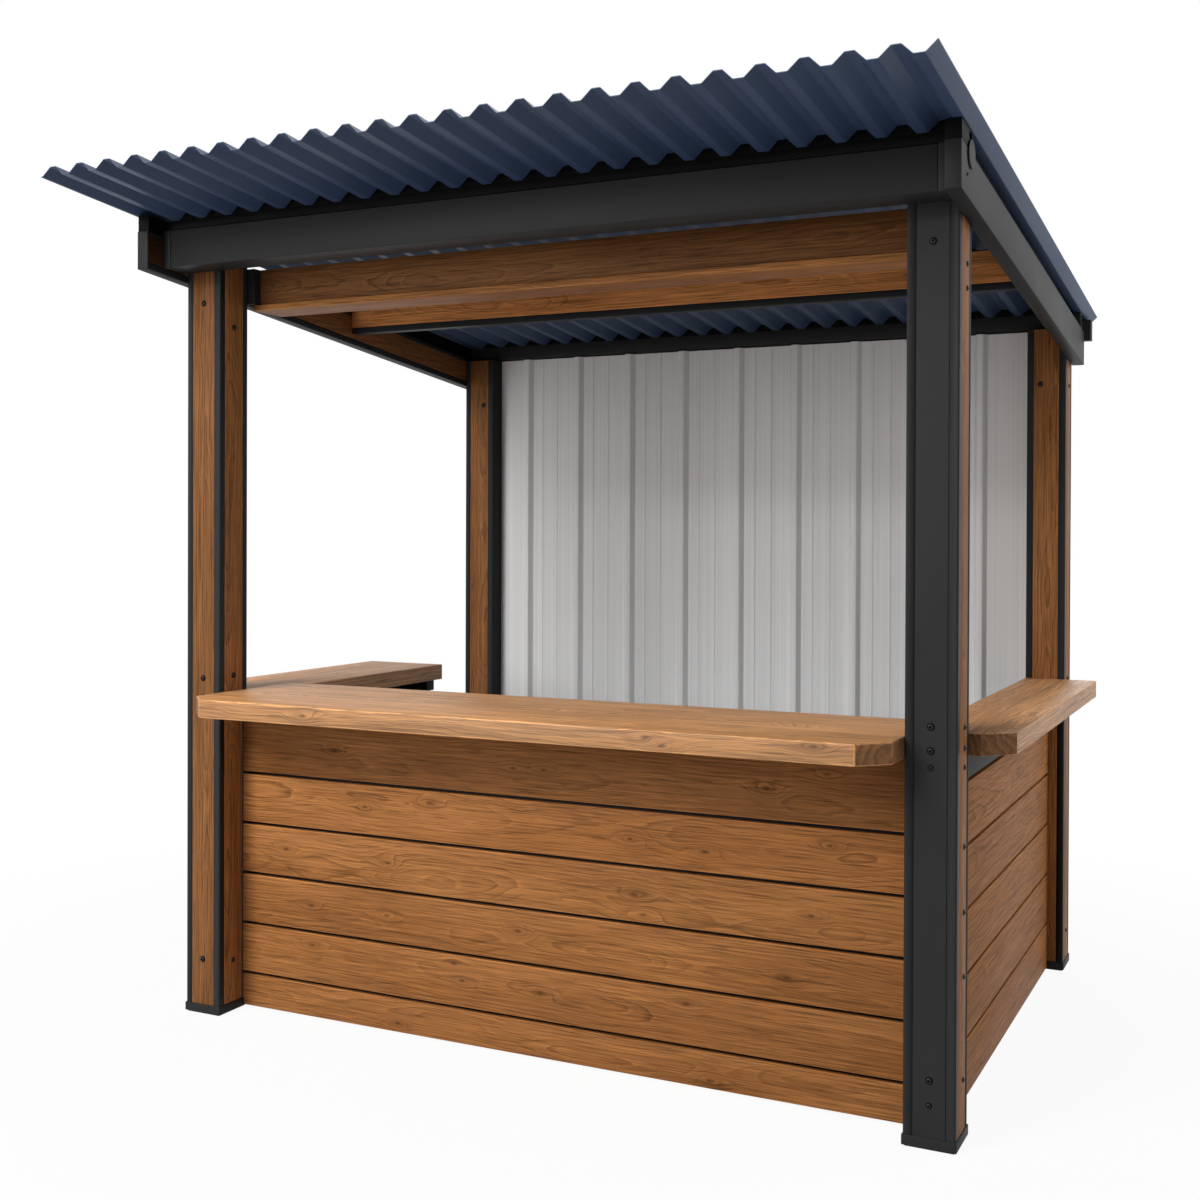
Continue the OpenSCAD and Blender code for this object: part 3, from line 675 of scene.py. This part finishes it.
def add_grain(work, draw, aside=0.0, top_wear_and_light=0.0, painted_tones=(), stacked=False, kinds=1):
    """Stores places on each board: along the grain, across it and through it, and its heart.

    The boards' long faces take the first kinds of material in turn, and their ends the one after.
    """
    layers = work.verts.layers
    grain = layers.float_vector.new("grain")
    local = layers.float_vector.new("board")
    heart = layers.float_vector.new("heart")
    tone = layers.float.new("tone")
    wear_and_light = work.faces.layers.float.new("wear_and_light")
    for count, board in enumerate(in_order(islands(work), stacked)):
        middle, order, wide = board_frame(board)
        shift = Vector([draw.uniform(*GRAIN_SHIFTS) for _ in range(3)])
        pith = Vector((wide * draw.uniform(*HEART_ASIDE), wide * draw.uniform(*HEART_DEEP),
                       draw.uniform(*HEART_SEEDS)))
        shade = draw.uniform(*BOARD_TONES)
        # Painted light and shade: some boards take a given tone instead of their drawn one
        if count < len(painted_tones):
            shade = painted_tones[count]
        mark_faces(board, order[0], min(count, kinds - 1), kinds, wear_and_light, top_wear_and_light)
        for v in board:
            place = Vector([(v.co - middle)[i] for i in order])
            v[grain] = place + shift
            v[local] = place + Vector((0, aside, 0))
            v[heart] = pith
            v[tone] = shade


def piece_of(work, name, materials, node=None, smooth=35.0):
    """Makes a piece of a mesh, and lets it ride."""
    mesh = bpy.data.meshes.new(name)
    work.to_mesh(mesh)
    work.free()
    for material in materials:
        mesh.materials.append(material)
    mesh.shade_smooth()
    mesh.set_sharp_from_angle(angle=math.radians(smooth))
    made = bpy.data.objects.new(name, mesh)
    bpy.context.scene.collection.objects.link(made)
    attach(made, BODY)
    if node:
        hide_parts(node)


# Small fixings

# Points round a bolt, and how many of its rings of faces belong to the washer
RING = 24
WASHER_RINGS = 3
# Largest turn in degrees that a fixing shows smooth
FIXING_SMOOTH = 30.0
# How far a washer sinks into its face
WASHER_SINK = 0.0004
# Washer's radius and height, head's height and socket's reach, in parts of the head's radius
WASHER_WIDE, WASHER_HIGH = 1.28, 0.14
HEAD_HIGH = 0.62
SOCKET_WIDE = 0.5
# Washer's outline in parts of its radius and height, and the head's dome in parts of the head's
WASHER_LINE = [(1.0, 0.7), (0.96, 1.0)]
DOME_LINE = [(1.0, 0.0), (0.99, 0.28), (0.88, 0.66), (0.7, 0.9), (0.56, 1.0)]
SOCKET_FLOOR = 0.3

BIG_BOLT = 0.0075
SMALL_BOLT = 0.006
FRONT = (0, -1, 0)
RIGHT = (1, 0, 0)
BOLTS = {
    "front_right_post_bolts": [
        (BIG_BOLT, FRONT, [(POST_MIDDLE_X, FRONT_FACE, z) for z in (2.214, 1.034, 0.975, 0.171)]),
        (SMALL_BOLT, FRONT, [(POST_MIDDLE_X, FRONT_FACE, z) for z in (0.934, 0.110)]),
        (SMALL_BOLT, RIGHT, [(HALF_WIDTH, -0.606, z) for z in (
            2.167, 2.107, 1.028, 0.976, 0.929, 0.733, 0.571, 0.412, 0.158)]),
    ],
    "front_left_post_bolts": [
        (BIG_BOLT, FRONT, [(-POST_MIDDLE_X, FRONT_FACE, z) for z in (2.212, 1.047, 0.988, 0.171)]),
        (BIG_BOLT, RIGHT, [(-INNER_X, -0.62, 2.141), (-INNER_X, -0.62, 1.054)]),
        (SMALL_BOLT, RIGHT, [(-INNER_X, -0.62, 0.160)]),
    ],
    "back_left_post_bolts": [(BIG_BOLT, FRONT, [(-1.115, BACK_POST_FRONT, 2.030)])],
    "back_right_post_bolts": [
        (BIG_BOLT, FRONT, [(1.115, BACK_POST_FRONT, 2.024)]),
        (SMALL_BOLT, RIGHT, [(HALF_WIDTH, BACK_POST_MIDDLE, z) for z in (2.02, 1.005, 0.127)]),
    ],
}

# Round plate on the outer face of a rafter's nose, as depth and height, and its screw
RAFTER_FACE = 1.24
PLATE_PLACE = (-0.765, 2.393)
PLATE_RADIUS = 0.034
PLATE_THICK = 0.005
PLATE_SIDES = 48
PLATE_EDGE = 60.0
SCREW_PLACE = (-0.802, 2.339)
SCREW_RADIUS = 0.004


def hex_reach(angle, reach):
    """Distance from the middle to a hexagon's side."""
    part = angle % math.radians(60.0)
    return reach * math.cos(math.radians(30.0)) / math.cos(part - math.radians(30.0))


def bolt_outline(radius):
    """Outline of a bolt and its washer, from the washer's foot to the head's top."""
    wide, thick, high = radius * WASHER_WIDE, radius * WASHER_HIGH, radius * HEAD_HIGH
    washer = [(wide * reach, thick * level) for reach, level in WASHER_LINE]
    head = [(radius * reach, thick + high * level) for reach, level in DOME_LINE]
    return [(wide, -WASHER_SINK)] + washer + head


def bolt_rings(radius):
    """Rings of points of a bolt, with its hexagon socket last."""
    angles = [2 * math.pi * step / RING for step in range(RING)]
    outline = bolt_outline(radius)
    rings = [([reach] * RING, level) for reach, level in outline]
    top = outline[-1][1]
    floor = radius * WASHER_HIGH + radius * HEAD_HIGH * SOCKET_FLOOR
    socket = [hex_reach(angle, radius * SOCKET_WIDE) for angle in angles]
    rings += [(socket, top), (socket, floor)]
    return [[Vector((reach * math.cos(angle), reach * math.sin(angle), level))
             for reach, angle in zip(reaches, angles)] for reaches, level in rings]


def button_bolt(work, place, facing, radius):
    """A button-head bolt with a hexagon socket, on its washer."""
    turn = Vector((0, 0, 1)).rotation_difference(Vector(facing)).to_matrix()
    rings = [[work.verts.new(Vector(place) + turn @ spot) for spot in ring]
             for ring in bolt_rings(radius)]
    for count, (lower, upper) in enumerate(zip(rings, rings[1:])):
        # Washer and socket are black as painted shade round the head and in its recess
        dark = count < WASHER_RINGS or count == len(rings) - 2
        for step in range(RING):
            after = (step + 1) % RING
            face = work.faces.new((lower[step], lower[after], upper[after], upper[step]))
            face.material_index = 1 if dark else 0
    work.faces.new(rings[-1]).material_index = 1
    work.faces.new(list(reversed(rings[0]))).material_index = 1


def build_bolts(made):
    """Button-head bolts on the posts."""
    for name, groups in BOLTS.items():
        work = bmesh.new()
        for radius, facing, places in groups:
            for place in places:
                button_bolt(work, place, facing, radius)
        bmesh.ops.recalc_face_normals(work, faces=work.faces)
        piece_of(work, name, [made["bolt"], made["black"]], None,
                 FIXING_SMOOTH)


def build_nose_plates(made):
    """Round plates with a screw on the outer faces of the rafters' noses."""
    for name, side in (("left", -1), ("right", 1)):
        work = bmesh.new()
        turn = Matrix.Rotation(math.radians(90.0 * side), 4, "Y")
        middle = Vector((side * (RAFTER_FACE + PLATE_THICK / 2), *PLATE_PLACE))
        bmesh.ops.create_cone(work, cap_ends=True, segments=PLATE_SIDES, radius1=PLATE_RADIUS,
                              radius2=PLATE_RADIUS, depth=PLATE_THICK,
                              matrix=Matrix.Translation(middle) @ turn)
        rounded(work, PLATE_ROUND, 2, PLATE_EDGE)
        button_bolt(work, (side * RAFTER_FACE, *SCREW_PLACE), (side, 0, 0), SCREW_RADIUS)
        bmesh.ops.recalc_face_normals(work, faces=work.faces)
        piece_of(work, name + "_nose_plate", [made["steel"], made["black"]], None,
                 FIXING_SMOOTH)


# Closures under the roof

ROOF_PITCH = math.radians(5.7)
# Play between a closure and the pieces round it
CLOSURE_PLAY = 0.0003
# Front closures: how far behind the beam's face they start, and their depth
CLOSURE_SETBACK = 0.012
CLOSURE_DEPTH = 0.04
# Verge closures: the height between rafter and roof, their thickness, and the left one's start
# ahead of the mid beam
PURLIN_HEIGHT = 0.049
VERGE_THICK = 0.01
VERGE_LEAD = 0.06
# Depth of the roof's front edge that is read, and the least height of a rib
EDGE_DEPTH = 0.004
RIB_LEAST = 0.004


def rib_outlines():
    """Undersides of the roof's ribs at its front edge, and the depth of that edge."""
    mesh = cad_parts["roof_sheet"].data
    front = min(v.co.y for v in mesh.vertices)
    edge = {(round(v.co.x, 4), round(v.co.z, 4)) for v in mesh.vertices
            if v.co.y < front + EDGE_DEPTH}
    columns = {}
    for across, high in edge:
        columns[across] = min(high, columns.get(across, high))
    line = sorted(columns.items())
    limit = min(high for _, high in line) + RIB_LEAST
    ribs = []
    for left, rise, fall, right in zip(line, line[1:], line[2:], line[3:]):
        if left[1] < limit < rise[1] and right[1] < limit < fall[1]:
            ribs.append((left, rise, fall, right))
    return ribs, front


def add_bar(work, near, far):
    """A bar between two outlines of four points each."""
    ends = [[work.verts.new(point) for point in outline] for outline in (near, far)]
    for step in range(4):
        after = (step + 1) % 4
        work.faces.new((ends[0][step], ends[0][after], ends[1][after], ends[1][step]))
    for end in ends:
        work.faces.new(end)


def closure_piece(work, name, made):
    """Makes a black piece of closures."""
    bmesh.ops.recalc_face_normals(work, faces=work.faces)
    piece_of(work, name, [made["black"]], None)


def build_rib_closures(made):
    """Black closures in the roof's ribs over the front and the rear purlin, black also as painted
    shade there.
    """
    ribs, front = rib_outlines()
    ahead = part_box("front_beam")[0].y + CLOSURE_SETBACK
    rear_low, rear_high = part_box("rear_purlin")

    def outline_at(depth, outline):
        drop = (depth - front) * math.tan(ROOF_PITCH)
        return [(across, depth, high - drop - CLOSURE_PLAY) for across, high in outline]

    for name, near, far in (("front", ahead, ahead + CLOSURE_DEPTH),
                            ("rear", rear_low.y, rear_high.y)):
        work = bmesh.new()
        for outline in ribs:
            if max(abs(across) for across, _ in outline) <= RAFTER_FACE:
                add_bar(work, outline_at(near, outline), outline_at(far, outline))
        closure_piece(work, name + "_rib_closures", made)


def build_verge_closures(made):
    """Black closures between rafter and roof, also painted shade: all along the right, from the mid
    beam on the left.
    """
    ribs, front = rib_outlines()
    flat = ribs[0][0][1]
    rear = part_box("rear_purlin")[0].y
    starts = {"left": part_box("mid_beam")[0].y - VERGE_LEAD, "right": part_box("front_purlin")[1].y}

    def outline_at(depth, inner, outer):
        top = flat - (depth - front) * math.tan(ROOF_PITCH) - CLOSURE_PLAY
        bottom = top - PURLIN_HEIGHT + 2 * CLOSURE_PLAY
        return [(inner, depth, bottom), (outer, depth, bottom), (outer, depth, top),
                (inner, depth, top)]

    for name, ahead in starts.items():
        low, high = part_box(name + "_rafter")
        inner = high.x if name == "left" else low.x
        outer = inner - VERGE_THICK if name == "left" else inner + VERGE_THICK
        work = bmesh.new()
        add_bar(work, outline_at(ahead + CLOSURE_PLAY, inner, outer),
                outline_at(rear - CLOSURE_PLAY, inner, outer))
        closure_piece(work, name + "_verge_closure", made)


# Frame, boards and sheets

# How near a post's corner an edge lies, and how upright it is
CORNER_NEAR = 1e-4
UPRIGHT = 0.9


def build_materials():
    """All the materials, by name."""
    made = {}
    for key, (name, base, rough, settings) in COATINGS.items():
        made[key] = coating(name, base, rough, **settings)
    made["wood"] = wood("oiled_wood", BROWN)
    made["strip"] = wood("oiled_strip_wood", DEEP)
    made["lining"] = wood("oiled_lining_wood", DEEP, dim=NOSE_SHADE_DEPTH)
    made["counter"] = wood("oiled_counter_wood", TAN, knots=COUNTER_KNOTS, stray=0.12,
                           stretch=COUNTER_STRETCH, rough=0.48, sheen=0.42, planks=PLANK,
                           bands=0.22)
    made["brown_ends"] = end_grain("brown_end_grain", *BROWN_ENDS)
    made["tan_ends"] = end_grain("tan_end_grain", *TAN_ENDS)
    return made


def corner_test(low, high):
    """A test for the upright edges at the corners of a post's box."""
    def is_corner(edge):
        along = edge.verts[1].co - edge.verts[0].co
        spot = edge.verts[0].co
        on_x = min(abs(spot.x - low.x), abs(spot.x - high.x)) < CORNER_NEAR
        on_y = min(abs(spot.y - low.y), abs(spot.y - high.y)) < CORNER_NEAR
        return abs(along.z) > UPRIGHT * along.length and on_x and on_y
    return is_corner


def build_steel(made):
    """Steel members with rounded edges."""
    for node in STEEL_NODES:
        work = node_mesh(node)
        if node.endswith("_post"):
            rounded(work, POST_ROUND, 3, wanted=corner_test(*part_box(node)))
        else:
            rounded(work, BEAM_ROUND if node.startswith("front_beam") else STEEL_ROUND)
        finish = made[STEEL_KINDS.get(node, "steel")]
        piece_of(work, node + "_steel", [finish], node)
    for node in FOOT_NODES:
        work = node_mesh(node)
        rounded(work, FOOT_ROUND, 3)
        piece_of(work, node + "_cap", [made["steel"]], node)


def panel_faces(work):
    """The face materials of the front panel's boards, from the top down, each with its knots."""
    faces = []
    for board in in_order(islands(work), True):
        low = min(v.co.z for v in board)
        high = max(v.co.z for v in board)
        knots = [(x, PANEL_KNOT_Y, z) for x, z in PANEL_KNOTS if low < z < high]
        faces.append(wood("oiled_panel_wood", BROWN, knots=knots, stretch=PANEL_STRETCH,
                          stray=0.0, period=PANEL_PERIOD, axes=PANEL_AXES))
    return faces


def build_wood(made):
    """Boards, strips and linings, each board with its own run of grain."""
    draw = random.Random(SEED)
    for node in WOOD_NODES:
        work = node_mesh(node)
        boards = node.endswith("_boards")
        rounded(work, BOARD_ROUND if boards else STRIP_ROUND)
        faces = [made[WOOD_KINDS.get(node, "strip")]]
        if node == "front_panel_boards":
            faces = panel_faces(work)
        add_grain(work, draw, painted_tones=PAINTED_LIGHT_TONES.get(node, ()), stacked=boards, kinds=len(faces))
        piece_of(work, node + "_wood", faces + [made["brown_ends"]], node)
    for node in COUNTER_NODES:
        work = node_mesh(node)
        rounded(work, COUNTER_ROUNDS[node], 3)
        add_grain(work, draw, PLANK_SHIFTS[node], TOP_WEAR_AND_LIGHT)
        piece_of(work, node + "_slab", [made["counter"], made["tan_ends"]], node)


def build_sheets(made):
    """Folded sheets with soft bends."""
    work = node_mesh("roof_sheet")
    rounded(work, *ROOF_BENDS)
    piece_of(work, "roof_ribbed_sheet", [made["roof"]], "roof_sheet")
    work = node_mesh("back_wall_sheet")
    rounded(work, *WALL_BENDS)
    piece_of(work, "back_wall_ribbed_sheet", [made["wall"]], "back_wall_sheet")


# Camera and stage

def build_camera():
    """The camera at the photograph's view."""
    right = Vector((math.cos(CAMERA_YAW), math.sin(CAMERA_YAW), 0))
    level = Vector((-math.sin(CAMERA_YAW), math.cos(CAMERA_YAW), 0))
    rise = Vector((0, 0, 1))
    ahead = math.cos(CAMERA_PITCH) * level - math.sin(CAMERA_PITCH) * rise
    above = math.cos(CAMERA_PITCH) * rise + math.sin(CAMERA_PITCH) * level
    side = math.cos(CAMERA_ROLL) * right + math.sin(CAMERA_ROLL) * above
    top = math.cos(CAMERA_ROLL) * above - math.sin(CAMERA_ROLL) * right
    data = bpy.data.cameras.new("camera")
    data.sensor_width = SENSOR
    data.lens = FOCAL_PIXELS / IMAGE_SIDE * SENSOR
    data.shift_y = (CENTRE_ROW - IMAGE_SIDE / 2) / IMAGE_SIDE
    data.clip_end = CLIP_END
    camera = bpy.data.objects.new("camera", data)
    columns = Matrix((side, top, -ahead)).transposed()
    camera.matrix_world = Matrix.Translation(CAMERA_PLACE) @ columns.to_4x4()
    bpy.context.scene.collection.objects.link(camera)
    bpy.context.scene.camera = camera


def seen_directly(tree):
    """1 for the rays that show the background itself."""
    rays = put(tree, "ShaderNodeLightPath").outputs
    seen = maths(tree, "MAXIMUM", rays["Is Camera Ray"], rays["Is Glossy Ray"])
    return maths(tree, "MAXIMUM", seen, rays["Is Transmission Ray"])


def build_world():
    """A white world that gives little light."""
    world = bpy.data.worlds.new("studio")
    world.use_nodes = True
    bpy.context.scene.world = world
    tree = world.node_tree
    sky = tree.nodes["Background"]
    sky.inputs["Color"].default_value = WHITE
    strength = span(tree, seen_directly(tree), 0.0, 1.0, AMBIENT, 1.0, False)
    tree.links.new(strength, sky.inputs["Strength"])


def floor_material():
    """Pale floor that keeps a faint shadow near the object and turns white farther off."""
    material, tree, shader = new_material("pale_floor")
    shader.inputs["Base Color"].default_value = FLOOR_COLOUR
    shader.inputs["Roughness"].default_value = FLOOR_ROUGH
    shader.inputs["Specular IOR Level"].default_value = 0.0
    glow = put(tree, "ShaderNodeEmission", {"Color": WHITE, "Strength": 1.0})
    away = length(tree, object_spot(tree))
    share = maths(tree, "MULTIPLY", seen_directly(tree),
                  span(tree, away, FLOOR_NEAR, FLOOR_FAR, *FLOOR_SHARES))
    mixed = put(tree, "ShaderNodeMixShader", {0: share, 1: shader.outputs[0],
                                              2: glow.outputs[0]})
    tree.links.new(mixed.outputs[0], tree.nodes["Material Output"].inputs["Surface"])
    return material


def build_floor():
    """The floor under the stall."""
    mesh = bpy.data.meshes.new("floor")
    corners = [(-FLOOR_REACH, -FLOOR_REACH, 0), (FLOOR_REACH, -FLOOR_REACH, 0),
               (FLOOR_REACH, FLOOR_REACH, 0), (-FLOOR_REACH, FLOOR_REACH, 0)]
    mesh.from_pydata(corners, [], [(0, 1, 2, 3)])
    floor = bpy.data.objects.new("floor", mesh)
    bpy.context.scene.collection.objects.link(floor)
    mesh.materials.append(floor_material())


def build_lamps():
    """Soft square lamps."""
    for name, (place, size, power) in LAMPS.items():
        data = bpy.data.lights.new(name, "AREA")
        data.size = size
        data.energy = power
        lamp = bpy.data.objects.new(name, data)
        away = Vector(place) - Vector(LAMP_TARGET)
        lamp.matrix_world = (Matrix.Translation(Vector(place))
                             @ away.to_track_quat("Z", "Y").to_matrix().to_4x4())
        bpy.context.scene.collection.objects.link(lamp)


build_camera()
MATERIALS = build_materials()
build_steel(MATERIALS)
build_wood(MATERIALS)
build_sheets(MATERIALS)
build_rib_closures(MATERIALS)
build_verge_closures(MATERIALS)
build_bolts(MATERIALS)
build_nose_plates(MATERIALS)
build_world()
build_floor()
build_lamps()
bpy.context.scene.view_settings.view_transform = "Standard"
